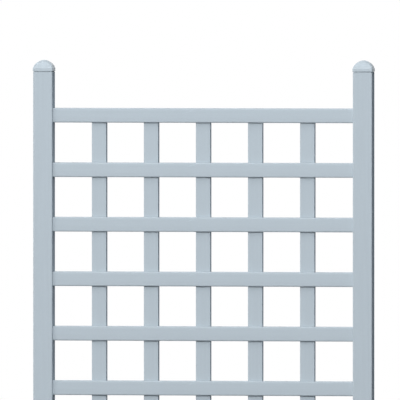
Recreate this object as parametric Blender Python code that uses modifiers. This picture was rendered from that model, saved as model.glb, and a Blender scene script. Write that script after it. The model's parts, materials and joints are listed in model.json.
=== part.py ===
# Vinyl trellis panel: two square posts with domed caps, horizontal rails let into the posts,
# and vertical slats threaded through the rails. Each post slips over a steel ground stake.
# Metres, +Z up, front at -Y. The origin is on the ground, midway between the posts.

import math

import bmesh
import bpy

# Clearances
SEAT_GAP = 0.0003  # between faces that rest on each other
FIT_CLEARANCE = 0.0003  # each side of a piece in its hole
OVERRUN = 0.002  # how far a cutter runs past what it cuts

# Lattice layout
SLAT_COUNT = 5
SLAT_WIDTH = 0.0381
SLAT_GAP = 0.098425  # between neighbouring slats
END_GAP = 0.1016  # between an outer slat and its post
RAIL_COUNT = 12
RAIL_HEIGHT = 0.0381
RAIL_GAP = 0.1038  # between neighbouring rails
TOP_MARGIN = 0.0952  # length of post above the top rail
LEG_HEIGHT = 0.1805  # from the ground to the bottom rail

# Post extrusion
POST_WIDTH = 0.0508
POST_WALL = 0.00254
POST_CORNER = 0.0030

# Rail extrusion
RAIL_SETBACK = 0.00635  # from the posts' front and back faces
RAIL_WALL = 0.0016
RAIL_CORNER = 0.0030
RAIL_END_GAP = 0.01016  # from a rail's end to the far wall of its post

# Slat extrusion
SLAT_SETBACK = 0.00794  # from the rails' front and back faces
SLAT_WALL = 0.0014
SLAT_CORNER = 0.0014
SLAT_END_GAP = 0.0030  # room for the slats to grow in summer heat

# Post cap
CAP_OVERHANG = 0.0012
CAP_RISE = 0.0295  # from the rim to the crown
CAP_SKIRT = 0.0086  # upright band between the rim and the ledge
CAP_LEDGE = 0.0016  # sloping ledge, this far in and up to the dome's foot
CAP_RIDGE = 0.0022  # radius of the dome's ridges at its foot
CAP_WALL = 0.0020
SPIGOT_LENGTH = 0.0190
SPIGOT_CORNER = 0.0010

# Ground stake
STAKE_CLEARANCE = 0.00064  # each side, in the post's bore
STAKE_WALL = 0.0016
STAKE_CORNER = 0.0024
STAKE_HEADROOM = 0.0281  # from the stake's top to the bottom rail
STAKE_IN_GROUND = 0.3048
STAKE_POINT = 0.0400

# Countersunk self-tapping screw
SCREW_LENGTH = 0.0190
SCREW_RADIUS = 0.0020
SCREW_HEAD_RADIUS = 0.0040
SCREW_HEAD_RIM = 0.0003
SCREW_POINT = 0.0040
SCREW_SINK = 0.0003  # from the post's face down to the head
RECESS_SPAN = 0.0042
RECESS_SLOT = 0.0011  # width of the cross's arms at its middle
RECESS_TIP = 0.0007  # and at their ends
RECESS_DEPTH = 0.0012

# Facets, and the two curves of the cap: how its sides turn in above the skirt,
# and how its plan turns from square to round at the crown
CORNER_SEGMENTS = 3
SLAT_CORNER_SEGMENTS = 2
BORE_CORNER_SEGMENTS = 1
CAP_CORNER_SEGMENTS = 4
CAP_RINGS = 8
CAP_BORE_RINGS = 4
CAP_SHOULDER_EXPONENT = 1.3
CAP_ROUNDING_EXPONENT = 2.5
SCREW_SIDES = 12
SMOOTH_BELOW_DEGREES = 35

# Derived from the sizes above
SPAN = 2 * END_GAP + SLAT_COUNT * SLAT_WIDTH + (SLAT_COUNT - 1) * SLAT_GAP
SLAT_PITCH = SLAT_WIDTH + SLAT_GAP
RAIL_PITCH = RAIL_HEIGHT + RAIL_GAP
RAIL_STACK = RAIL_COUNT * RAIL_HEIGHT + (RAIL_COUNT - 1) * RAIL_GAP
POST_LENGTH = LEG_HEIGHT + RAIL_STACK + TOP_MARGIN
POST_X = (SPAN + POST_WIDTH) / 2
POST_BORE = POST_WIDTH - 2 * POST_WALL
RAIL_DEPTH = POST_WIDTH - 2 * RAIL_SETBACK
RAIL_INSERT = POST_WIDTH - POST_WALL - RAIL_END_GAP
RAIL_LENGTH = SPAN + 2 * RAIL_INSERT
BOTTOM_RAIL_Z = LEG_HEIGHT + RAIL_HEIGHT / 2
TOP_RAIL_Z = BOTTOM_RAIL_Z + RAIL_STACK - RAIL_HEIGHT
SLAT_DEPTH = RAIL_DEPTH - 2 * SLAT_SETBACK
SLAT_FOOT_Z = LEG_HEIGHT + RAIL_WALL + SEAT_GAP
SLAT_HEAD_Z = LEG_HEIGHT + RAIL_STACK - RAIL_WALL - SLAT_END_GAP
CAP_WIDTH = POST_WIDTH + 2 * CAP_OVERHANG
CAP_CORNER = POST_CORNER + CAP_OVERHANG
SPIGOT_WIDTH = POST_BORE - 2 * FIT_CLEARANCE
STAKE_WIDTH = POST_BORE - 2 * STAKE_CLEARANCE
STAKE_TOP_Z = LEG_HEIGHT - STAKE_HEADROOM
SCREW_HEAD_DEPTH = SCREW_HEAD_RIM + SCREW_HEAD_RADIUS - SCREW_RADIUS
SCREW_HEAD_Y = POST_WIDTH / 2 - SCREW_SINK

SIDES = {"left": -1, "right": 1}
SCREWED_RAILS = {"top": 0, "middle": RAIL_COUNT // 2, "bottom": RAIL_COUNT - 1}

VINYL = {"Base Color": (0.50, 0.58, 0.64, 1), "Roughness": 0.38, "Metallic": 0}
GALVANISED = {"Base Color": (0.52, 0.53, 0.54, 1), "Roughness": 0.45, "Metallic": 1}
COATED = {"Base Color": (0.60, 0.65, 0.69, 1), "Roughness": 0.35, "Metallic": 0.2}


# Scene


def clear_scene():
    for old in list(bpy.data.objects):
        bpy.data.objects.remove(old, do_unlink=True)


def new_collection(name):
    collection = bpy.data.collections.new(name)
    bpy.context.scene.collection.children.link(collection)
    return collection


def new_object(name, mesh, collection):
    obj = bpy.data.objects.new(name, mesh)
    collection.objects.link(obj)
    return obj


def new_material(name, look):
    material = bpy.data.materials.new(name)
    material.use_nodes = True
    shader = material.node_tree.nodes["Principled BSDF"]
    for socket, value in look.items():
        shader.inputs[socket].default_value = value
    return material


def evaluated_mesh(obj):
    bpy.context.view_layer.update()
    depsgraph = bpy.context.evaluated_depsgraph_get()
    return bpy.data.meshes.new_from_object(obj.evaluated_get(depsgraph))


# Modelling steps


def rounded_rectangle(width, depth, corner, segments):
    # Points round the origin, with an arc of radius corner at each of the four corners
    points = []
    for quarter, (side_x, side_y) in enumerate(((1, 1), (-1, 1), (-1, -1), (1, -1))):
        for step in range(segments + 1):
            angle = math.radians(90) * (quarter + step / segments)
            x = side_x * (width / 2 - corner) + corner * math.cos(angle)
            y = side_y * (depth / 2 - corner) + corner * math.sin(angle)
            points.append((x, y))
    return points


def tube_section(width, depth, corner, wall, segments):
    # The outer and inner outlines of an extrusion with an even wall
    inner_corner = max(corner - wall, wall / 4)
    outer = rounded_rectangle(width, depth, corner, segments)
    inner = rounded_rectangle(
        width - 2 * wall, depth - 2 * wall, inner_corner, BORE_CORNER_SEGMENTS
    )
    return [outer, inner]


def extrusion(name, collection, outlines, length):
    # A bar along its own Z, centred, with the inner outlines left open
    curve = bpy.data.curves.new(name, "CURVE")
    curve.dimensions = "2D"
    curve.fill_mode = "BOTH"
    curve.extrude = length / 2
    for outline in outlines:
        spline = curve.splines.new("POLY")
        spline.points.add(len(outline) - 1)
        for point, (x, y) in zip(spline.points, outline):
            point.co = (x, y, 0, 1)
        spline.use_cyclic_u = True
    drawing = new_object(name + "_drawing", curve, collection)
    mesh = evaluated_mesh(drawing)
    bpy.data.objects.remove(drawing)
    bm = bmesh.new()
    bm.from_mesh(mesh)
    bmesh.ops.remove_doubles(bm, verts=bm.verts, dist=SEAT_GAP / 10)
    bmesh.ops.recalc_face_normals(bm, faces=bm.faces)
    bm.to_mesh(mesh)
    bm.free()
    return new_object(name, mesh, collection)


def turned(name, collection, profile):
    # A profile of radius and height, from the top down its outer side, turned about Z
    mesh = bpy.data.meshes.new(name)
    points = [(radius, 0, height) for radius, height in profile]
    mesh.from_pydata(points, [(k, k + 1) for k in range(len(points) - 1)], [])
    obj = new_object(name, mesh, collection)
    screw = obj.modifiers.new("turn", "SCREW")
    screw.axis = "Z"
    screw.steps = SCREW_SIDES
    screw.render_steps = SCREW_SIDES
    screw.use_merge_vertices = True
    screw.merge_threshold = SEAT_GAP / 10
    return obj


def lofted(name, collection, rings, first_tip, last_tip):
    # A skin through rings of equally many points, drawn to a tip at each end
    bm = bmesh.new()
    loops = [[bm.verts.new(point) for point in ring] for ring in rings]
    count = len(rings[0])
    for loop, following in zip(loops, loops[1:]):
        for k in range(count):
            after = (k + 1) % count
            bm.faces.new((loop[k], loop[after], following[after], following[k]))
    for loop, tip in ((loops[0], first_tip), (loops[-1], last_tip)):
        centre = bm.verts.new(tip)
        for k in range(count):
            bm.faces.new((centre, loop[k], loop[(k + 1) % count]))
    bmesh.ops.recalc_face_normals(bm, faces=bm.faces)
    mesh = bpy.data.meshes.new(name)
    bm.to_mesh(mesh)
    bm.free()
    return new_object(name, mesh, collection)


def repeat(obj, count, offset):
    array = obj.modifiers.new("repeat", "ARRAY")
    array.count = count
    array.use_relative_offset = False
    array.use_constant_offset = True
    array.constant_offset_displace = offset


def hide_cutter(obj):
    obj.hide_render = True
    obj.display_type = "WIRE"
    return obj


def cut(obj, tools):
    # All of a piece's cuts are made in one operation
    group = bpy.data.collections.new(obj.name + "_cuts")
    cutters.children.link(group)
    for tool in tools:
        group.objects.link(tool)
    boolean = obj.modifiers.new("cuts", "BOOLEAN")
    boolean.operation = "DIFFERENCE"
    boolean.solver = "EXACT"
    boolean.operand_type = "COLLECTION"
    boolean.collection = group


def finish(obj, material):
    # Settles the cuts into the mesh and shades its round edges smooth
    mesh = evaluated_mesh(obj)
    obj.modifiers.clear()
    obj.data = mesh
    mesh.name = obj.name
    mesh.materials.clear()
    mesh.materials.append(material)
    mesh.shade_smooth()
    mesh.set_sharp_from_angle(angle=math.radians(SMOOTH_BELOW_DEGREES))
    return obj


# Places of the repeated pieces


def rail_z(index):
    return TOP_RAIL_Z - index * RAIL_PITCH


def slat_x(index):
    return (index - (SLAT_COUNT - 1) / 2) * SLAT_PITCH


def screw_places(side):
    # Name, x and z of each screw in the back of a post
    x = SIDES[side] * (SPAN / 2 + RAIL_INSERT / 2)
    places = [(f"{side}_rail_screw_{row}", x, rail_z(k)) for row, k in SCREWED_RAILS.items()]
    places.append((f"{side}_stake_screw", SIDES[side] * POST_X, STAKE_TOP_Z / 2))
    return places


# Cutters


def make_rail_holes():
    # The rails' section with clearance, through the inner walls of both posts
    outline = rounded_rectangle(
        RAIL_HEIGHT + 2 * FIT_CLEARANCE,
        RAIL_DEPTH + 2 * FIT_CLEARANCE,
        RAIL_CORNER + FIT_CLEARANCE,
        CORNER_SEGMENTS,
    )
    length = SPAN + 2 * (POST_WALL + OVERRUN)
    holes = extrusion("rail_holes", cutters, [outline], length)
    holes.rotation_euler.y = math.radians(90)
    holes.location.z = TOP_RAIL_Z
    repeat(holes, RAIL_COUNT, (RAIL_PITCH, 0, 0))
    return hide_cutter(holes)


def make_slat_slots():
    # The slats' section with clearance, from inside the bottom rail to inside the top rail
    outline = rounded_rectangle(
        SLAT_WIDTH + 2 * FIT_CLEARANCE,
        SLAT_DEPTH + 2 * FIT_CLEARANCE,
        SLAT_CORNER + FIT_CLEARANCE,
        SLAT_CORNER_SEGMENTS,
    )
    slots = extrusion("slat_slots", cutters, [outline], TOP_RAIL_Z - BOTTOM_RAIL_Z)
    slots.location = (slat_x(0), 0, (TOP_RAIL_Z + BOTTOM_RAIL_Z) / 2)
    repeat(slots, SLAT_COUNT, (SLAT_PITCH, 0, 0))
    return hide_cutter(slots)


def make_screw_hole(name, x, z):
    # The screw's own shape with clearance, and open at the post's face
    head = SCREW_HEAD_RADIUS + FIT_CLEARANCE
    shank = SCREW_RADIUS + FIT_CLEARANCE
    profile = [
        (0, SCREW_SINK + OVERRUN),
        (head, SCREW_SINK + OVERRUN),
        (head, -SCREW_HEAD_RIM),
        (shank, -SCREW_HEAD_DEPTH),
        (shank, -SCREW_LENGTH - FIT_CLEARANCE),
        (0, -SCREW_LENGTH - FIT_CLEARANCE),
    ]
    hole = turned(name + "_hole", cutters, profile)
    hole.rotation_euler.x = math.radians(-90)
    hole.location = (x, SCREW_HEAD_Y, z)
    return hide_cutter(hole)


def make_driver_recess():
    # A cross for the screwdriver, at the origin, where the screw is modelled
    span, slot, tip = RECESS_SPAN / 2, RECESS_SLOT / 2, RECESS_TIP / 2
    outline = []
    for side_x, side_y in ((1, 1), (-1, 1), (-1, -1), (1, -1)):
        bend = [(side_x * span, side_y * tip), (side_x * slot, side_y * slot)]
        bend.append((side_x * tip, side_y * span))
        outline += bend if side_x == side_y else bend[::-1]
    recess = extrusion("driver_recess", cutters, [outline], 2 * RECESS_DEPTH)
    return hide_cutter(recess)


def make_stake_bevels():
    # What is sawn off below the stake's point, as seen from the front
    reach = STAKE_WIDTH / 2 + OVERRUN
    shoulder = STAKE_POINT * reach / (STAKE_WIDTH / 2)
    outline = [(0, 0), (reach, shoulder), (reach, -2 * OVERRUN)]
    outline += [(-reach, -2 * OVERRUN), (-reach, shoulder)]
    bevels = extrusion("stake_bevels", cutters, [outline], 2 * reach)
    bevels.rotation_euler.x = math.radians(90)
    bevels.location.z = -STAKE_IN_GROUND
    return hide_cutter(bevels)


# Pieces


def make_post(side, rail_holes, screw_holes):
    section = tube_section(POST_WIDTH, POST_WIDTH, POST_CORNER, POST_WALL, CORNER_SEGMENTS)
    post = extrusion(f"{side}_post", pieces, section, POST_LENGTH)
    post.location = (SIDES[side] * POST_X, 0, POST_LENGTH / 2)
    cut(post, [rail_holes, *screw_holes])
    return finish(post, post_vinyl)


def make_rail(index, slat_slots, screw_holes):
    section = tube_section(RAIL_HEIGHT, RAIL_DEPTH, RAIL_CORNER, RAIL_WALL, CORNER_SEGMENTS)
    rail = extrusion(f"rail_{index + 1:02d}", pieces, section, RAIL_LENGTH)
    rail.rotation_euler.y = math.radians(90)
    rail.location.z = rail_z(index)
    cut(rail, [slat_slots, *screw_holes])
    return finish(rail, rail_vinyl)


def make_slat(index):
    section = tube_section(SLAT_WIDTH, SLAT_DEPTH, SLAT_CORNER, SLAT_WALL, SLAT_CORNER_SEGMENTS)
    slat = extrusion(f"slat_{index + 1}", pieces, section, SLAT_HEAD_Z - SLAT_FOOT_Z)
    slat.location = (slat_x(index), 0, (SLAT_HEAD_Z + SLAT_FOOT_Z) / 2)
    return finish(slat, slat_vinyl)


def square_ring(width, corner, z):
    return [(x, y, z) for x, y in rounded_rectangle(width, width, corner, CAP_CORNER_SEGMENTS)]


def dome_rings(width, ridge, foot, crown, count):
    # From the dome's foot up to just below the crown
    rings = []
    for k in range(count):
        angle = math.radians(90) * k / count
        ring_width = width * math.cos(angle)
        sharp = min(ridge, ring_width / 2)
        corner = sharp + (ring_width / 2 - sharp) * math.sin(angle) ** CAP_ROUNDING_EXPONENT
        height = (crown - foot) * math.sin(angle) ** CAP_SHOULDER_EXPONENT
        rings.append(square_ring(ring_width, corner, foot + height))
    return rings


def make_cap(side):
    # The dome down to the ledge and rim, the spigot, and the hollow back up inside
    bore = SPIGOT_WIDTH - 2 * CAP_WALL
    bore_rise = CAP_RISE - CAP_WALL
    dome_width = CAP_WIDTH - 2 * CAP_LEDGE
    rings = dome_rings(dome_width, CAP_RIDGE, CAP_SKIRT + CAP_LEDGE, CAP_RISE, CAP_RINGS)[::-1]
    rings.append(square_ring(CAP_WIDTH, CAP_CORNER, CAP_SKIRT))
    rings.append(square_ring(CAP_WIDTH, CAP_CORNER, 0))
    rings.append(square_ring(SPIGOT_WIDTH, SPIGOT_CORNER, 0))
    rings.append(square_ring(SPIGOT_WIDTH, SPIGOT_CORNER, -SPIGOT_LENGTH))
    rings.append(square_ring(bore, SPIGOT_CORNER, -SPIGOT_LENGTH))
    rings += dome_rings(bore, SPIGOT_CORNER, CAP_SKIRT, bore_rise, CAP_BORE_RINGS)
    cap = lofted(f"{side}_post_cap", pieces, rings, (0, 0, CAP_RISE), (0, 0, bore_rise))
    cap.location = (SIDES[side] * POST_X, 0, POST_LENGTH + SEAT_GAP)
    return finish(cap, cap_vinyl)


def make_stake(side, bevels, screw_hole):
    section = tube_section(STAKE_WIDTH, STAKE_WIDTH, STAKE_CORNER, STAKE_WALL, CORNER_SEGMENTS)
    foot_z = -STAKE_IN_GROUND - OVERRUN
    stake = extrusion(f"{side}_stake", pieces, section, STAKE_TOP_Z - foot_z)
    stake.location = (SIDES[side] * POST_X, 0, (STAKE_TOP_Z + foot_z) / 2)
    bevels.location.x = SIDES[side] * POST_X
    cut(stake, [bevels, screw_hole])
    return finish(stake, stake_steel)


def make_screw_mesh(recess):
    profile = [
        (0, 0),
        (SCREW_HEAD_RADIUS, 0),
        (SCREW_HEAD_RADIUS, -SCREW_HEAD_RIM),
        (SCREW_RADIUS, -SCREW_HEAD_DEPTH),
        (SCREW_RADIUS, SCREW_POINT - SCREW_LENGTH),
        (0, -SCREW_LENGTH),
    ]
    screw = turned("screw", pieces, profile)
    cut(screw, [recess])
    finish(screw, screw_steel)
    mesh = screw.data
    bpy.data.objects.remove(screw)
    return mesh


def make_screw(name, x, z, mesh):
    screw = new_object(name, mesh, pieces)
    screw.rotation_euler.x = math.radians(-90)
    screw.location = (x, SCREW_HEAD_Y, z)
    return screw


# The trellis

clear_scene()
pieces = new_collection("vinyl_trellis")
cutters = new_collection("cutters")

post_vinyl = new_material("post_vinyl", VINYL)
rail_vinyl = new_material("rail_vinyl", VINYL)
slat_vinyl = new_material("slat_vinyl", VINYL)
cap_vinyl = new_material("cap_vinyl", VINYL)
stake_steel = new_material("stake_steel", GALVANISED)
screw_steel = new_material("screw_steel", COATED)

rail_holes = make_rail_holes()
slat_slots = make_slat_slots()
stake_bevels = make_stake_bevels()
screw_mesh = make_screw_mesh(make_driver_recess())

holes_by_row = {index: [] for index in range(RAIL_COUNT)}
for side in SIDES:
    places = screw_places(side)
    holes = [make_screw_hole(*place) for place in places]
    for index, hole in zip(SCREWED_RAILS.values(), holes):
        holes_by_row[index].append(hole)
    make_post(side, rail_holes, holes)
    make_cap(side)
    make_stake(side, stake_bevels, holes[-1])
    for place in places:
        make_screw(*place, screw_mesh)

for index in range(RAIL_COUNT):
    make_rail(index, slat_slots, holes_by_row[index])
for index in range(SLAT_COUNT):
    make_slat(index)
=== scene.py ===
import json
import math

import bmesh
import bpy
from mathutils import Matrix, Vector

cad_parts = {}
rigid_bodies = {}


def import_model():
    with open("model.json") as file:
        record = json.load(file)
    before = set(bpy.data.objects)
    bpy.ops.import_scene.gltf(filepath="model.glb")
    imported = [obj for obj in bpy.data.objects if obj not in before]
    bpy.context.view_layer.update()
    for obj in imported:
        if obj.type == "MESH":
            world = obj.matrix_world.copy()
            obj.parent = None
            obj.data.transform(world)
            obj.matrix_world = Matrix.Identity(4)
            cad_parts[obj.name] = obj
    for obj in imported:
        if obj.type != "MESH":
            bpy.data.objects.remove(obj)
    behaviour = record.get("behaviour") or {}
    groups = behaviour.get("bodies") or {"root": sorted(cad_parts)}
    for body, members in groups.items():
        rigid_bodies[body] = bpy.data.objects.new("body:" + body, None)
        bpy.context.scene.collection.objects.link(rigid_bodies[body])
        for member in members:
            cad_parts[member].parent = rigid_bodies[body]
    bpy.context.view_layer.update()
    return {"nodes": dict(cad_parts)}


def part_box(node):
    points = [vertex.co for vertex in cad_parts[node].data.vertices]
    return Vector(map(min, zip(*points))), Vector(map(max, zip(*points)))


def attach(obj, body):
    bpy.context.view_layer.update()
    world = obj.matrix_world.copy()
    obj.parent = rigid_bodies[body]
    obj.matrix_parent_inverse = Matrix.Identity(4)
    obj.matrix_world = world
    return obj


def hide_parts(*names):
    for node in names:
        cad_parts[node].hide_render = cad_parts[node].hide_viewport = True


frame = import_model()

print("frame loaded:", len(frame["nodes"]), "nodes")


def newShelf(name):
    shelf = bpy.data.collections.new(name)
    bpy.context.scene.collection.children.link(shelf)
    return shelf


studio = newShelf("studio")
trellis = newShelf("trellis")
cutters = newShelf("cutters")


# Shader writing

class Signal:
    # The output of one node, so that shader maths is written as an expression

    def __init__(self, finish, socket):
        self.finish = finish
        self.socket = socket

    def maths(self, operation, first, second):
        return self.finish.add("Math", {"operation": operation}, {0: first, 1: second})

    def __add__(self, other):
        return self.maths("ADD", self, other)

    def __radd__(self, other):
        return self.maths("ADD", other, self)

    def __sub__(self, other):
        return self.maths("SUBTRACT", self, other)

    def __rsub__(self, other):
        return self.maths("SUBTRACT", other, self)

    def __mul__(self, other):
        return self.maths("MULTIPLY", self, other)

    def __rmul__(self, other):
        return self.maths("MULTIPLY", other, self)

    def __truediv__(self, other):
        return self.maths("DIVIDE", self, other)

    def __rtruediv__(self, other):
        return self.maths("DIVIDE", other, self)

    def __abs__(self):
        return self.maths("ABSOLUTE", self, 0.0)

    def clipped(self):
        return self.maths("MINIMUM", self.maths("MAXIMUM", self, 0.0), 1.0)

    def past(self, start, steepness):
        # 0 up to the start, and from there up to 1
        return ((self - start) * steepness).clipped()

    def folded(self, pitch):
        # How far it is from the nearest whole pitch
        return self.maths("PINGPONG", self, pitch / 2)


class Finish:
    # One material or world, whose nodes are all added by the same method

    def __init__(self, owner):
        owner.use_nodes = True
        self.owner = owner
        self.tree = owner.node_tree
        self.tree.nodes.clear()

    def add(self, kind, settings=None, inputs=None, output=0):
        node = self.tree.nodes.new("ShaderNode" + kind)
        for name, value in (settings or {}).items():
            setattr(node, name, value)
        for name, value in (inputs or {}).items():
            if isinstance(value, Signal):
                self.tree.links.new(value.socket, node.inputs[name])
            else:
                node.inputs[name].default_value = value
        return Signal(self, node.outputs[output]) if node.outputs else self.owner

    def mixed(self, mask, first, second):
        # The first colour where the mask is 0, the second where it is 1
        return self.add("Mix", {"data_type": "RGBA"}, {0: mask, 6: first, 7: second}, 2)

    def blended(self, mask, first, second):
        # The same for two shaders
        return self.add("MixShader", {}, {0: mask, 1: first, 2: second})

    def place(self):
        # Metres from the piece's own origin
        return self.add("TexCoord", {}, {}, "Object")

    def stretched(self, place, factors):
        return self.add("VectorMath", {"operation": "MULTIPLY"}, {0: place, 1: factors})

    def distance(self, place):
        return self.add("VectorMath", {"operation": "LENGTH"}, {0: place}, "Value")

    def part(self, vector, axis):
        return self.add("SeparateXYZ", {}, {0: vector}, axis)

    def upward(self):
        # How far the surface faces the sky
        return self.part(self.add("NewGeometry", {}, {}, "Normal"), "Z")

    def marks(self, place, kinds):
        # Noise about 0 for each kind: its counts for each metre, the share of them along the
        # piece's own z, and its detail
        found = {}
        for kind, (scale, along, detail) in kinds.items():
            drawn = self.stretched(place, (1.0, 1.0, along))
            noise = self.add("TexNoise", {}, {"Vector": drawn, "Scale": scale, "Detail": detail})
            found[kind] = noise - 0.5
        return found

    def seenDirectly(self):
        # 1 for what the camera sees, also in a reflection, and 0 for what lights the object
        rays = [self.add("LightPath", {}, {}, f"Is {kind} Ray") for kind in
                ("Camera", "Glossy", "Transmission")]
        return (rays[0] + rays[1] + rays[2]).clipped()

    def surface(self, look, height, inputs):
        # The whole material, with the relief that the height gives it
        relief = self.add("Bump", {}, {
            "Strength": look["reliefStrength"], "Distance": look["relief"], "Height": height})
        shader = self.add("BsdfPrincipled", {}, {**inputs, "Normal": relief})
        return self.add("OutputMaterial", {}, {"Surface": shader})


def total(marks, weights):
    # The marks' sum by their weights
    return sum(marks[kind] * weight for kind, weight in weights.items())


def opaque(colour):
    return (*colour, 1.0)


def grey(level):
    return opaque((level,) * 3)


def tinted(colour, share):
    return opaque(min(1.0, part * (1 + share)) for part in colour)


# Camera: at the photo's angle, and far away, because the photo's lines hardly converge

photoView = {
    "azimuth": 7.5,                 # degrees towards the object's right side
    "elevation": 1.27,
    "distance": 45.0,
    "aim": (-0.0096, 0.0, 1.5405),  # what the middle of the photo shows
    "pixelSize": 0.002601,          # metres at the object for one of the photo's pixels
    "pixels": 400,
    "sensor": 36.0,                 # millimetres
    "clip": (1.0, 120.0),
}


def towards(azimuth, elevation):
    turn, rise = math.radians(azimuth), math.radians(elevation)
    across = math.cos(rise)
    return Vector((math.sin(turn) * across, -math.cos(turn) * across, math.sin(rise)))


def makeCamera(look):
    camera = bpy.data.objects.new("photo_camera", bpy.data.cameras.new("photo_camera"))
    studio.objects.link(camera)
    direction = towards(look["azimuth"], look["elevation"])
    camera.location = Vector(look["aim"]) + direction * look["distance"]
    camera.rotation_euler = direction.to_track_quat("Z", "Y").to_euler()
    camera.data.sensor_width = look["sensor"]
    camera.data.lens = look["sensor"] * look["distance"] / (look["pixelSize"] * look["pixels"])
    camera.data.clip_start, camera.data.clip_end = look["clip"]
    bpy.context.scene.camera = camera


makeCamera(photoView)
print("camera placed")


# Light, floor and backdrop

lamps = {
    "front_lamp": {"azimuth": 2.5, "elevation": 22.1, "size": 3.4, "power": 342.0},
    "left_lamp": {"azimuth": -60.0, "elevation": 16.0, "size": 4.3, "power": 135.0},
    "top_lamp": {"azimuth": -8.0, "elevation": 66.7, "size": 5.0, "power": 143.0},
    "back_lamp": {"azimuth": 185.0, "elevation": 22.0, "size": 5.0, "power": 316.0},
}
shiningLamps = ("front_lamp", "top_lamp")   # the ones that show in the object's gloss
lampDistance = 8.0
lampTarget = (0.0, 0.0, 1.3)

sky = {
    "colour": (0.98, 1.0, 1.02),
    "shade": (0.058, 0.103, 0.135),  # what is left of it at the back and right
    "bright": 0.66,                 # in the wide soft part, at the front and left
    "azimuth": -77.9,
    "elevation": 16.4,
    "edge": (-0.257, 0.107),        # cosines of the angles where that part ends and is full
}

floor = {
    "radius": 14.0,
    "around": 128,
    "seen": 0.70,                   # how pale the camera sees it
    "bounce": 0.10,                 # how pale it lights the object
    "fadeFrom": 2.5,                # where it starts to turn into the backdrop
    "fadeTo": 7.0,
}


def makeLamp(name, look):
    lamp = bpy.data.objects.new(name, bpy.data.lights.new(name, "AREA"))
    studio.objects.link(lamp)
    direction = towards(look["azimuth"], look["elevation"])
    lamp.location = Vector(lampTarget) + direction * lampDistance
    lamp.rotation_euler = direction.to_track_quat("Z", "Y").to_euler()
    lamp.data.shape = "DISK"
    lamp.data.size = look["size"]
    lamp.data.energy = look["power"]
    lamp.visible_camera = False
    lamp.visible_glossy = name in shiningLamps


def makeSky(look):
    finish = Finish(bpy.data.worlds.new("studio_sky"))
    direction = finish.add("TexCoord", {}, {}, "Generated")
    centre = towards(look["azimuth"], look["elevation"])
    nearness = finish.add("VectorMath", {"operation": "DOT_PRODUCT"},
                          {0: direction, 1: centre}, "Value")
    start, full = look["edge"]
    soft = nearness.past(start, 1 / (full - start))
    bright = opaque(part * look["bright"] for part in look["colour"])
    tone = finish.mixed(soft, opaque(look["shade"]), bright)
    light = finish.add("Background", {}, {"Color": tone, "Strength": 1.0})
    backdrop = finish.add("Background", {}, {"Color": grey(1.0), "Strength": 1.0})
    shown = finish.blended(finish.seenDirectly(), light, backdrop)
    bpy.context.scene.world = finish.add("OutputWorld", {}, {"Surface": shown})


def makeFloor(look):
    finish = Finish(bpy.data.materials.new("studio_floor"))
    near, far = look["fadeFrom"], look["fadeTo"]
    faded = finish.distance(finish.place()).past(near, 1 / (far - near))
    pale = finish.add("BsdfDiffuse", {}, {"Color": grey(look["seen"])})
    quiet = finish.add("BsdfDiffuse", {}, {"Color": grey(look["bounce"])})
    backdrop = finish.add("Emission", {}, {"Color": grey(1.0), "Strength": 1.0})
    seen = finish.blended(faded, pale, backdrop)
    shown = finish.blended(finish.seenDirectly(), quiet, seen)

    outline = bmesh.new()
    bmesh.ops.create_circle(outline, cap_ends=True, segments=look["around"],
                            radius=look["radius"])
    mesh = bpy.data.meshes.new("studio_floor")
    outline.to_mesh(mesh)
    outline.free()
    mesh.materials.append(finish.add("OutputMaterial", {}, {"Surface": shown}))
    plate = bpy.data.objects.new("studio_floor", mesh)
    studio.objects.link(plate)


for name, look in lamps.items():
    makeLamp(name, look)
makeSky(sky)
makeFloor(floor)
bpy.context.scene.view_settings.view_transform = "Standard"
print("studio lit")


# Shapes: every piece is a skin over rings of points, with its openings cut in it

def section(width, depth, corner, steps=6, bow=0.0, bowSteps=1):
    # A box's outline with round corners; its sides may bow, and are full size in their middles
    outline = []
    for turn, (sideX, sideY) in enumerate(((1, 1), (-1, 1), (-1, -1), (1, -1))):
        centre = Vector((sideX * (width / 2 - bow - corner), sideY * (depth / 2 - bow - corner)))
        for step in range(steps + 1):
            angle = math.radians(90 * (turn + step / steps))
            outline.append(centre + corner * Vector((math.cos(angle), math.sin(angle))))
        outward = Vector((math.cos(angle), math.sin(angle)))
        along = Vector((-outward.y, outward.x))
        start = outline[-1]
        reach = 2 * abs(start.dot(along))
        for step in range(1, bowSteps):
            share = step / bowSteps
            rise = bow * (1 - (2 * share - 1) ** 2)
            outline.append(start + along * reach * share + outward * rise)
    return outline


def circle(radius, steps):
    turns = [2 * math.pi * k / steps for k in range(steps)]
    return [Vector((radius * math.cos(turn), radius * math.sin(turn))) for turn in turns]


def ring(outline, z):
    return [Vector((point.x, point.y, z)) for point in outline]


def meshOf(name, shape):
    bmesh.ops.recalc_face_normals(shape, faces=shape.faces)
    mesh = bpy.data.meshes.new(name)
    shape.to_mesh(mesh)
    shape.free()
    return mesh


def skin(name, rings, tips=None):
    # Closed by a tip at either end, or by joining the last ring to the first
    shape = bmesh.new()
    rows = [[shape.verts.new(point) for point in points] for points in rings]
    if not tips:
        rows.append(rows[0])
    for lower, upper in zip(rows, rows[1:]):
        for k, corner in enumerate(lower):
            shape.faces.new((lower[k - 1], corner, upper[k], upper[k - 1]))
    for tip, row in zip(tips or (), (rows[0], rows[-1])):
        point = shape.verts.new(tip)
        for k, corner in enumerate(row):
            shape.faces.new((row[k - 1], corner, point))
    return meshOf(name, shape)


def tube(name, outer, inner, length, endEase=0.0):
    # Its outer edges may be taken off at both ends
    ends = [outer]
    if endEase:
        shares = [1 - endEase / max(abs(point.x), abs(point.y)) for point in outer]
        ends.insert(0, [point * share for point, share in zip(outer, shares)])
    bottom = [ring(outline, k * endEase) for k, outline in enumerate(ends)]
    top = [ring(outline, length - k * endEase) for k, outline in enumerate(ends)]
    return skin(name, bottom + top[::-1] + [ring(inner, length), ring(inner, 0)])


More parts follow.
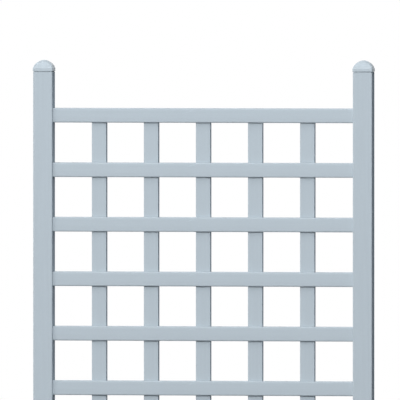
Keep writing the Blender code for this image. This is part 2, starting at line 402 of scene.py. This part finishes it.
def newObject(name, mesh, shelf=trellis, at=(0, 0, 0), turned=(0, 0, 0)):
    piece = bpy.data.objects.new(name, mesh)
    shelf.objects.link(piece)
    piece.location = at
    piece.rotation_euler = [math.radians(angle) for angle in turned]
    return piece


easing = {
    "opening": 0.00025,             # how far an opening's edge is taken off
    "recess": 0.00004,              # the same in a screw's head
    "crispFrom": 60,                # degrees between two faces that make an edge crisp
    "segments": 2,
}


def cutAndEased(piece, tools, ease=easing["opening"]):
    # All the openings in one go, and then every crisp edge taken off
    group = bpy.data.collections.new(piece.name + "_openings")
    cutters.children.link(group)
    for tool in tools:
        group.objects.link(tool)
    openings = piece.modifiers.new("openings", "BOOLEAN")
    openings.operand_type = "COLLECTION"
    openings.collection = group
    openings.solver = "EXACT"
    eased = piece.modifiers.new("eased", "BEVEL")
    eased.limit_method = "ANGLE"
    eased.angle_limit = math.radians(easing["crispFrom"])
    eased.width = ease
    eased.segments = easing["segments"]
    graph = bpy.context.evaluated_depsgraph_get()
    piece.data = bpy.data.meshes.new_from_object(piece.evaluated_get(graph))
    piece.modifiers.clear()
    bpy.data.collections.remove(group)


def dressed(piece, node, finish, smoothBelow=40):
    # Shading, finish and its place in the frame
    mesh = piece.data
    mesh.shade_smooth()
    mesh.set_sharp_from_angle(angle=math.radians(smoothBelow))
    mesh.materials.clear()
    mesh.materials.append(finish)
    shading = piece.modifiers.new("even_shading", "WEIGHTED_NORMAL")
    shading.keep_sharp = True
    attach(piece, "root")
    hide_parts(node)


def middleOf(node):
    low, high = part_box(node)
    return [(a + b) / 2 for a, b in zip(low, high)]


# Sizes that several pieces share, in metres

sides = ("left", "right")
posts = {
    "width": 0.0508,
    "wall": 0.00254,
    "corner": 0.0030,
    "boreCorner": 0.0008,
    "sawnEase": 0.0018,             # the sawn ends' outer edge
}
rails = {
    "count": 12,
    "height": 0.0381,
    "length": 0.8636,
    "wall": 0.0016,
    "corner": 0.0030,
    "bow": 0.0003,                  # how far each face is full in its middle
    "bowSteps": 8,
}
slats = {
    "count": 5,
    "width": 0.0381,
    "depth": 0.02222,
    "wall": 0.0014,
    "corner": 0.0014,
    "boreCorner": 0.0007,
}
screws = {
    "headRadius": 0.0040,
    "headInset": 0.00012,           # how much smaller the head's face is
    "headEase": 0.0001,             # how far below the face the head is full size
    "headRim": 0.0003,
    "coneDepth": 0.0023,
    "neck": 0.95,                   # the cone's foot as a share of the thread's crest
    "crest": 0.0020,
    "root": 0.0014,
    "pitch": 0.0016,
    "ridge": 0.26,                  # half of the ridge's width as a share of the pitch
    "length": 0.0190,
    "point": 0.0045,
    "around": 28,
    "rowsEachPitch": 8,
    "smoothBelow": 35,              # degrees between faces up to which they look like one
}
fit = 0.0003                        # around a rail, slat, spigot or screw in its opening


def railNode(index):
    return f"rail_{index + 1:02d}"


# Finishes: in each, marks are noise as Finish.marks reads it, and tone, rough and raised are the
# weights by which the marks change the colour, the roughness and the height

dust = {
    "marks": {"patches": (140.0, 1.0, 4.0)},
    "contrast": 1.6,
    "facing": (0.55, 3.0),          # how level it starts to settle, and how steeply that grows
}

drawnVinyl = {
    "colour": (0.458, 0.521, 0.571),
    "variation": 0.045,             # share by which the tone drifts either way
    "roughness": 0.74,
    "specular": 0.15,
    "relief": 0.00012,
    "reliefStrength": 0.5,
    "marks": {
        "lines": (1100.0, 0.02, 2.0),
        "bands": (170.0, 0.02, 2.0),
        "drift": (26.0, 0.3, 3.0),
        "mottle": (520.0, 0.4, 3.0),
        "scratches": (60.0, 0.15, 1.0),
        "scratched": (9.0, 1.0, 2.0),
    },
    "tone": {"bands": 0.72, "lines": 0.45, "drift": 0.36, "mottle": 0.99},
    "rough": {"drift": 0.12, "lines": 0.12, "scuff": 0.12, "dust": 0.15, "grimeAndShade": 0.1},
    "raised": {"lines": 0.35, "bands": 0.5, "mottle": 0.3, "scuff": -0.5},
    "scratchWidth": 0.00625,        # in the noise's own measure
    "scratchedFrom": (0.06, 12.0),
    "scuffTint": 0.25,
    "scuffShare": 0.5,
    "dust": (0.56, 0.58, 0.58),
    "dustShare": 0.22,
    # A dark colour painted near the joints: partly grime, partly painted shade where the joints lie
    # in shade
    "grimeAndShade": (0.27, 0.30, 0.31),
    "grimeAndShadeShare": 0.30,
    "grimeAndShadeReach": 0.0035,           # how far the grime and painted shade reach out from a joint
    "grimeAndShadeCover": 0.7,              # how densely it lies there
    "grimeAndShadeBreaks": 2.4,             # how strongly the mottle breaks it up
}

mouldedVinyl = {
    "colour": (0.452, 0.517, 0.566),
    "variation": 0.035,
    "roughness": 0.36,
    "specular": 0.25,
    "relief": 0.00007,
    "reliefStrength": 0.5,
    "marks": {
        "grain": (1900.0, 1.0, 3.0),
        "flow": (90.0, 1.0, 3.0),
    },
    "tone": {"flow": 2.4},
    "rough": {"flow": 0.12, "grain": 0.1, "dust": 0.15},
    "raised": {"grain": 1.0, "flow": 0.6},
    "dust": (0.58, 0.60, 0.60),
    "dustShare": 0.15,
}


def toned(finish, marks, colour, look):
    # The colour, made a little darker and lighter by the marks
    tone = (total(marks, look["tone"]) + 0.5).clipped()
    return finish.mixed(tone, tinted(colour, -look["variation"]), tinted(colour, look["variation"]))


def dusty(finish, body, place, look):
    # Pale dust that has settled where the surface faces the sky
    patches = finish.marks(place, dust["marks"])["patches"] * dust["contrast"] + 0.5
    settled = finish.upward().past(*dust["facing"]) * patches.clipped()
    return finish.mixed(settled * look["dustShare"], body, opaque(look["dust"])), settled


def vinylSurface(finish, body, marks, look):
    return finish.surface(look, total(marks, look["raised"]), {
        "Base Color": body,
        "Roughness": total(marks, look["rough"]) + look["roughness"],
        "Specular IOR Level": look["specular"],
    })


def makeDrawnVinyl(name, look, shift, joint):
    # Drawn through a die, so its marks run along each piece, which is its own z
    finish = Finish(bpy.data.materials.new(name))
    place = finish.place()
    marks = finish.marks(place, look["marks"])
    colour = [part * (1 + shift) for part in look["colour"]]
    body = toned(finish, marks, colour, look)

    scratches = (1 - abs(marks["scratches"]) / look["scratchWidth"]).clipped()
    marks["scuff"] = scratches * marks["scratched"].past(*look["scratchedFrom"])
    body = finish.mixed(marks["scuff"] * look["scuffShare"], body,
                        tinted(colour, look["scuffTint"]))

    # Painted shade with grime: darker on the slats just above and below each rail, on the rails
    # around each slot, and on each post just below its cap
    along = (finish.part(place, "Z") - joint["middle"]).folded(joint["pitch"])
    across = abs(finish.part(place, "Y"))
    grimeAndShade = (marks["mottle"] * look["grimeAndShadeBreaks"] + look["grimeAndShadeCover"]).clipped()
    for distance, edge in ((along, joint["half"]), (across, joint["depth"])):
        grimeAndShade = grimeAndShade * (1 - (distance - edge) / look["grimeAndShadeReach"]).clipped()
    marks["grimeAndShade"] = grimeAndShade
    body = finish.mixed(grimeAndShade * look["grimeAndShadeShare"], body, opaque(look["grimeAndShade"]))
    body, marks["dust"] = dusty(finish, body, place, look)
    return vinylSurface(finish, body, marks, look)


def makeMouldedVinyl(name, look):
    # Moulded, so it has a fine grain all over and faint flow marks
    finish = Finish(bpy.data.materials.new(name))
    place = finish.place()
    marks = finish.marks(place, look["marks"])
    body = toned(finish, marks, look["colour"], look)
    body, marks["dust"] = dusty(finish, body, place, look)
    return vinylSurface(finish, body, marks, look)


galvanising = {
    "zinc": (0.56, 0.57, 0.58),
    "zincDark": (0.45, 0.46, 0.475),
    "rust": (0.64, 0.65, 0.64),     # the white rust of zinc
    "roughness": 0.43,
    "relief": 0.00006,
    "reliefStrength": 0.6,
    "spangle": 260.0,
    "warp": 400.0,                  # counts for each metre of what bends the spangle's edges
    "warpReach": 0.0012,
    "marks": {
        "frost": (900.0, 1.0, 4.0),
        "bloom": (22.0, 0.4, 5.0),
    },
    "tone": {"spangle": 0.7, "frost": 0.3},
    "rough": {"spangle": 0.14, "frost": 0.08, "rust": 0.3},
    "raised": {"spangle": 0.4, "frost": 0.3, "rust": 1.0},
    "rustFrom": (0.05, 6.0),
    "rustShare": 0.6,
    "rustDulls": 0.7,               # how far it takes the metal's look away
}


def makeGalvanising(look):
    finish = Finish(bpy.data.materials.new("galvanised_steel"))
    place = finish.place()
    bends = finish.add("TexNoise", {}, {"Vector": place, "Scale": look["warp"]}, "Color")
    warped = finish.add("VectorMath", {"operation": "MULTIPLY_ADD"},
                        {0: bends, 1: (look["warpReach"],) * 3, 2: place})
    crystals = finish.add("TexVoronoi", {}, {"Vector": warped, "Scale": look["spangle"]}, "Color")
    marks = finish.marks(place, look["marks"])
    marks["spangle"] = finish.add("SeparateColor", {}, {0: crystals}, "Red") - 0.5
    marks["rust"] = rust = marks["bloom"].past(*look["rustFrom"])
    metal = finish.mixed((total(marks, look["tone"]) + 0.5).clipped(),
                         opaque(look["zincDark"]), opaque(look["zinc"]))
    return finish.surface(look, total(marks, look["raised"]), {
        "Base Color": finish.mixed(rust * look["rustShare"], metal, opaque(look["rust"])),
        "Metallic": 1 - rust * look["rustDulls"],
        "Roughness": total(marks, look["rough"]) + look["roughness"],
    })


paintedScrew = {
    "paint": (0.500, 0.575, 0.625),
    "steel": (0.55, 0.55, 0.54),
    "roughness": 0.44,
    "relief": 0.00003,
    "reliefStrength": 0.4,
    "marks": {
        "grain": (3000.0, 1.0, 3.0),
        "chips": (1400.0, 1.0, 3.0),
    },
    "rough": {"bare": -0.1, "grain": 0.12},
    "raised": {"grain": 1.0, "bare": -1.0},
    "threadEdge": 5000.0,           # how steeply the head's wear gives way to the thread's
    "worn": (0.00178, 9000.0),      # from how far off the axis the crests are, and how steeply
    "driverReach": 0.0016,          # how far from the axis the driver has worn the head
    "driverEdge": 2500.0,
    "chipsFrom": (0.12, 14.0),
    "bareShare": 0.8,
}


def makePaintedScrew(look):
    finish = Finish(bpy.data.materials.new("painted_screw_steel"))
    place = finish.place()
    marks = finish.marks(place, look["marks"])
    axisDistance = finish.distance(finish.stretched(place, (1.0, 1.0, 0.0)))
    thread = (0 - finish.part(place, "Z")).past(screws["coneDepth"], look["threadEdge"])
    crests = axisDistance.past(*look["worn"]) * thread
    driven = ((look["driverReach"] - axisDistance) * look["driverEdge"] + marks["grain"]).clipped()
    chips = marks["chips"].past(*look["chipsFrom"])
    bare = crests * (marks["grain"] + look["bareShare"])
    bare = (bare + (driven * (1 - thread) + chips) * look["bareShare"]).clipped()
    marks["bare"] = bare
    return finish.surface(look, total(marks, look["raised"]), {
        "Base Color": finish.mixed(bare, opaque(look["paint"]), opaque(look["steel"])),
        "Metallic": bare,
        "Roughness": total(marks, look["rough"]) + look["roughness"],
    })


# Where grime and painted shade darken each kind of piece: a joint's middle along it, the pitch
# to the next joint, half of the joint's width, and how far from the middle it reaches across

slatJoint = {
    "middle": middleOf(railNode(0))[2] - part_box("slat_1")[0][2],
    "pitch": middleOf(railNode(0))[2] - middleOf(railNode(1))[2],
    "half": rails["height"] / 2,
    "depth": slats["depth"],
}
railJoint = {
    "middle": rails["length"] / 2,
    "pitch": middleOf("slat_2")[0] - middleOf("slat_1")[0],
    "half": slats["width"] / 2,
    "depth": slats["depth"] / 2,
}
postJoint = {
    "middle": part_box("left_post")[1][2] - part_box("left_post")[0][2],
    "pitch": 20.0,                  # longer than a post, so only its top is a joint
    "half": 0.0,
    "depth": posts["width"],
}
vinylShift = {"post": 0.0, "rail": 0.01, "slat": 0.005}   # by what share each is lighter

postVinyl = makeDrawnVinyl("post_vinyl_drawn", drawnVinyl, vinylShift["post"], postJoint)
railVinyl = makeDrawnVinyl("rail_vinyl_drawn", drawnVinyl, vinylShift["rail"], railJoint)
slatVinyl = makeDrawnVinyl("slat_vinyl_drawn", drawnVinyl, vinylShift["slat"], slatJoint)
capVinyl = makeMouldedVinyl("cap_vinyl_moulded", mouldedVinyl)
stakeSteel = makeGalvanising(galvanising)
screwSteel = makePaintedScrew(paintedScrew)
print("finishes made")


# Cutting tools for the openings, in the trellis's own frame

toolReach = {
    "railHole": 0.0045,             # to either side of a post's inner face, through one wall
    "screwHole": 0.0020,            # out of the face that a screw goes in at
    "stakePoint": (0.0020, 0.0040),  # beside a stake, and below it
    "recess": 0.0003,               # out of a screw's head
}
screwNodes = [f"{side}_{place}" for side in sides for place in
              ("rail_screw_top", "rail_screw_middle", "rail_screw_bottom", "stake_screw")]


def railHoleTools():
    size = rails["height"] + 2 * fit
    outline = section(size, size, rails["corner"] + fit)
    innerFaces = [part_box("left_post")[1][0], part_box("right_post")[0][0]]
    reach = toolReach["railHole"]
    tools = []
    for index in range(rails["count"]):
        z = middleOf(railNode(index))[2]
        for x in innerFaces:
            rings = [ring(outline, -reach), ring(outline, reach)]
            mesh = skin("rail_hole_tool", rings, tips=((0, 0, -reach), (0, 0, reach)))
            tools.append(newObject("rail_hole_tool", mesh, cutters, (x, 0, z), (0, 90, 0)))
    return tools


def slatSlotTools():
    width, depth = slats["width"] + 2 * fit, slats["depth"] + 2 * fit
    outline = section(width, depth, slats["corner"] + fit, steps=4)
    low = middleOf(railNode(rails["count"] - 1))[2]
    high = middleOf(railNode(0))[2]
    rings = [ring(outline, low), ring(outline, high)]
    mesh = skin("slat_slot_tool", rings, tips=((0, 0, low), (0, 0, high)))
    return [newObject("slat_slot_tool", mesh, cutters, (middleOf(f"slat_{index + 1}")[0], 0, 0))
            for index in range(slats["count"])]


def screwHead(node):
    # The middle of the head's face: screws are driven from the back, along -y
    middle = middleOf(node)
    return (middle[0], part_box(node)[1][1], middle[2])


def screwHoleTools():
    look = screws
    outside, end = toolReach["screwHole"], -look["length"] - fit
    head, shank = look["headRadius"] + fit, look["crest"] + fit
    profile = [(head, outside), (head, -look["headRim"]), (shank, -look["coneDepth"]), (shank, end)]
    rings = [ring(circle(radius, look["around"]), z) for radius, z in profile]
    mesh = skin("screw_hole_tool", rings, tips=((0, 0, outside), (0, 0, end)))
    return {node: newObject("screw_hole_tool", mesh, cutters, screwHead(node), (-90, 0, 0))
            for node in screwNodes}


railHoles = railHoleTools()
slatSlots = slatSlotTools()
screwHoles = screwHoleTools()
print("cutting tools ready")


# Posts

def makePost(side):
    look = posts
    node = side + "_post"
    low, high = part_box(node)
    outer = section(look["width"], look["width"], look["corner"])
    bore = look["width"] - 2 * look["wall"]
    inner = section(bore, bore, look["boreCorner"])
    mesh = tube(node, outer, inner, high[2] - low[2], look["sawnEase"])
    post = newObject(side + "_post_tube", mesh, at=(middleOf(node)[0], 0, low[2]))
    ownScrews = [screwHoles[name] for name in screwNodes if name.startswith(side)]
    cutAndEased(post, railHoles + ownScrews)
    dressed(post, node, postVinyl)


for side in sides:
    makePost(side)
print("posts made")


# Rails

screwedRails = {0: "top", 6: "middle", 11: "bottom"}


def makeRail(index):
    look = rails
    node = railNode(index)
    low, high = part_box(node)
    bow = {"bow": look["bow"], "bowSteps": look["bowSteps"]}
    outer = section(look["height"], look["height"], look["corner"], **bow)
    bore = look["height"] - 2 * look["wall"]
    inner = section(bore, bore, look["corner"] - look["wall"], **bow)
    mesh = tube(node, outer, inner, high[0] - low[0])
    rail = newObject(node + "_tube", mesh, at=(low[0], 0, middleOf(node)[2]), turned=(0, 90, 0))
    end = screwedRails.get(index)
    screwed = [screwHoles[f"{side}_rail_screw_{end}"] for side in sides] if end else []
    cutAndEased(rail, slatSlots + screwed)
    dressed(rail, node, railVinyl)


for index in range(rails["count"]):
    makeRail(index)
print("rails made")


# Slats

def makeSlat(index):
    look = slats
    node = f"slat_{index + 1}"
    low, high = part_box(node)
    outer = section(look["width"], look["depth"], look["corner"])
    bore = (look["width"] - 2 * look["wall"], look["depth"] - 2 * look["wall"])
    mesh = tube(node, outer, section(*bore, look["boreCorner"]), high[2] - low[2])
    slat = newObject(node + "_tube", mesh, at=(middleOf(node)[0], 0, low[2]))
    dressed(slat, node, slatVinyl)


for index in range(slats["count"]):
    makeSlat(index)
print("slats made")


# Post caps: an upright skirt, then a dome with soft ridges that fade out towards the crown

caps = {
    "corner": 0.0042,
    "rise": 0.0295,
    "skirt": 0.0086,
    "draft": 0.00012,               # how far each side leans in up to the crease
    "crease": 0.0004,               # how far the edge above the skirt is softened
    "creaseInset": 0.00006,
    "ledge": 0.0016,                # from the skirt in to the dome's foot, and up to it
    "ridge": 0.0022,                # radius of the dome's ridges at its foot
    "wall": 0.0020,
    "rimEase": 0.0007,
    "rimMiddle": 0.3,               # where its rounding is at half way, as a share of it
    "shoulderExponent": 1.3,        # how quickly the sides turn in above the skirt
    "roundingExponent": 2.5,        # how late the plan turns from square to round
    "domeRings": 30,
    "boreRings": 10,
    "spigotLength": 0.0190,
    "spigotCorner": 0.0010,
    "spigotTaper": 0.0008,
    "cornerSteps": 8,
    "smoothBelow": 50,              # degrees, as for the screws
}


def squareRing(width, corner, z):
    return ring(section(width, width, corner, caps["cornerSteps"]), z)


def domeRings(width, ridge, foot, crown, count):
    rings = []
    for k in range(count):
        angle = math.radians(90) * k / count
        across = width * math.cos(angle)
        sharp = min(ridge, across / 2)
        corner = sharp + (across / 2 - sharp) * math.sin(angle) ** caps["roundingExponent"]
        height = foot + (crown - foot) * math.sin(angle) ** caps["shoulderExponent"]
        rings.append(squareRing(across, corner, height))
    return rings


def makeCap(side):
    look = caps
    node = side + "_post_cap"
    low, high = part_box(node)
    width, corner, crown = high[0] - low[0], look["corner"], look["rise"]
    ease, narrow = look["rimEase"], width - 2 * look["draft"]
    easeMiddle = look["rimMiddle"] * ease
    skirt = [
        (narrow - 2 * look["creaseInset"], corner, look["skirt"]),
        (narrow, corner, look["skirt"] - look["crease"]),
        (width, corner, ease),
        (width - 2 * easeMiddle, corner, easeMiddle),
        (width - 2 * ease, corner - ease, 0),
    ]
    plug = posts["width"] - 2 * posts["wall"] - 2 * fit
    bore = plug - 2 * look["wall"]
    foot, plugCorner, taper = -look["spigotLength"], look["spigotCorner"], look["spigotTaper"]
    spigot = [
        (plug, plugCorner, 0),
        (plug, plugCorner, foot + taper),
        (plug - taper, plugCorner, foot),
        (bore, plugCorner, foot),
    ]
    outside = domeRings(width - 2 * look["ledge"], look["ridge"], look["skirt"] + look["ledge"],
                        crown, look["domeRings"])
    inside = domeRings(bore, plugCorner, look["skirt"], crown - look["wall"], look["boreRings"])
    rings = outside[::-1] + [squareRing(*sizes) for sizes in skirt + spigot] + inside
    mesh = skin(node, rings, tips=((0, 0, crown), (0, 0, crown - look["wall"])))
    cap = newObject(side + "_cap_moulding", mesh, at=(middleOf(node)[0], 0, high[2] - crown))
    dressed(cap, node, capVinyl, look["smoothBelow"])


for side in sides:
    makeCap(side)
print("caps made")


# Ground stakes: square tube, sawn to a point below

stakes = {
    "width": 0.04444,
    "wall": 0.0016,
    "corner": 0.0024,
    "point": 0.0400,
}


def stakePointTool(side):
    # What is sawn off beside the point, as seen from the front
    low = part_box(side + "_stake")[0]
    beside, below = toolReach["stakePoint"]
    reach = stakes["width"] / 2 + beside
    shoulder = stakes["point"] * reach / (stakes["width"] / 2)
    outline = [(0, 0), (reach, shoulder), (reach, -below), (-reach, -below), (-reach, shoulder)]
    shape = bmesh.new()
    front = [shape.verts.new((x, -reach, z)) for x, z in outline]
    back = [shape.verts.new((x, reach, z)) for x, z in outline]
    shape.faces.new(front)
    shape.faces.new(back[::-1])
    for k in range(len(outline)):
        shape.faces.new((front[k - 1], front[k], back[k], back[k - 1]))
    mesh = meshOf("stake_bevel_tool", shape)
    at = (middleOf(side + "_stake")[0], 0, low[2])
    return newObject("stake_bevel_tool", mesh, cutters, at)


def makeStake(side):
    look = stakes
    node = side + "_stake"
    low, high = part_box(node)
    outer = section(look["width"], look["width"], look["corner"])
    bore = look["width"] - 2 * look["wall"]
    inner = section(bore, bore, look["corner"] - look["wall"])
    mesh = tube(node, outer, inner, high[2] - low[2])
    stake = newObject(side + "_stake_tube", mesh, at=(middleOf(node)[0], 0, low[2]))
    cutAndEased(stake, [stakePointTool(side), screwHoles[side + "_stake_screw"]])
    dressed(stake, node, stakeSteel)


for side in sides:
    makeStake(side)
print("stakes made")


# Screws: countersunk, cross recess, with a thread that runs out at the point

recess = {
    "span": 0.0042,
    "slot": 0.0011,
    "tip": 0.0007,
    "depth": 0.0013,
    "mouth": 1.05,                  # the cross just above the head, as a share of its size
    "floor": 0.55,                  # the same at its depth
    "dip": 1.25,                    # its middle, as a share of the depth
}


def recessTool(look):
    outline = []
    span, slot, tip = look["span"] / 2, look["slot"] / 2, look["tip"] / 2
    for x, y in ((1, 1), (-1, 1), (-1, -1), (1, -1)):
        bend = [Vector((x * span, y * tip)), Vector((x * slot, y * slot)),
                Vector((x * tip, y * span))]
        outline += bend if x == y else bend[::-1]
    outside, depth = toolReach["recess"], look["depth"]
    rings = [ring([point * share for point in outline], z)
             for share, z in ((look["mouth"], outside), (look["floor"], -depth))]
    tips = ((0, 0, outside), (0, 0, -depth * look["dip"]))
    return newObject("recess_tool", skin("recess_tool", rings, tips), cutters)


def makeScrewMesh():
    look = screws
    head, start, end = look["headRadius"], look["coneDepth"], look["length"]
    profile = [(head - look["headInset"], 0), (head, -look["headEase"]),
               (head, -look["headRim"]), (look["crest"] * look["neck"], -start)]
    rings = [ring(circle(radius, look["around"]), z) for radius, z in profile]
    rows = round((end - start) / look["pitch"] * look["rowsEachPitch"])
    for row in range(1, rows):
        depth = start + (end - start) * row / rows
        taper = min(1.0, (end - depth) / look["point"])
        runIn = min(1.0, (depth - start) / look["pitch"])
        points = []
        for k, point in enumerate(circle(1.0, look["around"])):
            phase = (depth / look["pitch"] - k / look["around"]) % 1.0
            ridge = max(0.0, 1 - abs(phase - 0.5) / look["ridge"])
            radius = look["root"] + (look["crest"] - look["root"]) * ridge * runIn
            points.append(point * radius * taper)
        rings.append(ring(points, -depth))
    mesh = skin("screw", rings, tips=((0, 0, 0), (0, 0, -end)))
    screw = newObject("screw_blank", mesh, cutters)
    cutAndEased(screw, [recessTool(recess)], easing["recess"])
    return screw.data


screwMesh = makeScrewMesh()
for node in screwNodes:
    screw = newObject(node + "_threaded", screwMesh.copy(), at=screwHead(node), turned=(-90, 0, 0))
    dressed(screw, node, screwSteel, screws["smoothBelow"])
print("screws made")

for tool in list(cutters.all_objects):
    bpy.data.objects.remove(tool)
bpy.data.collections.remove(cutters)
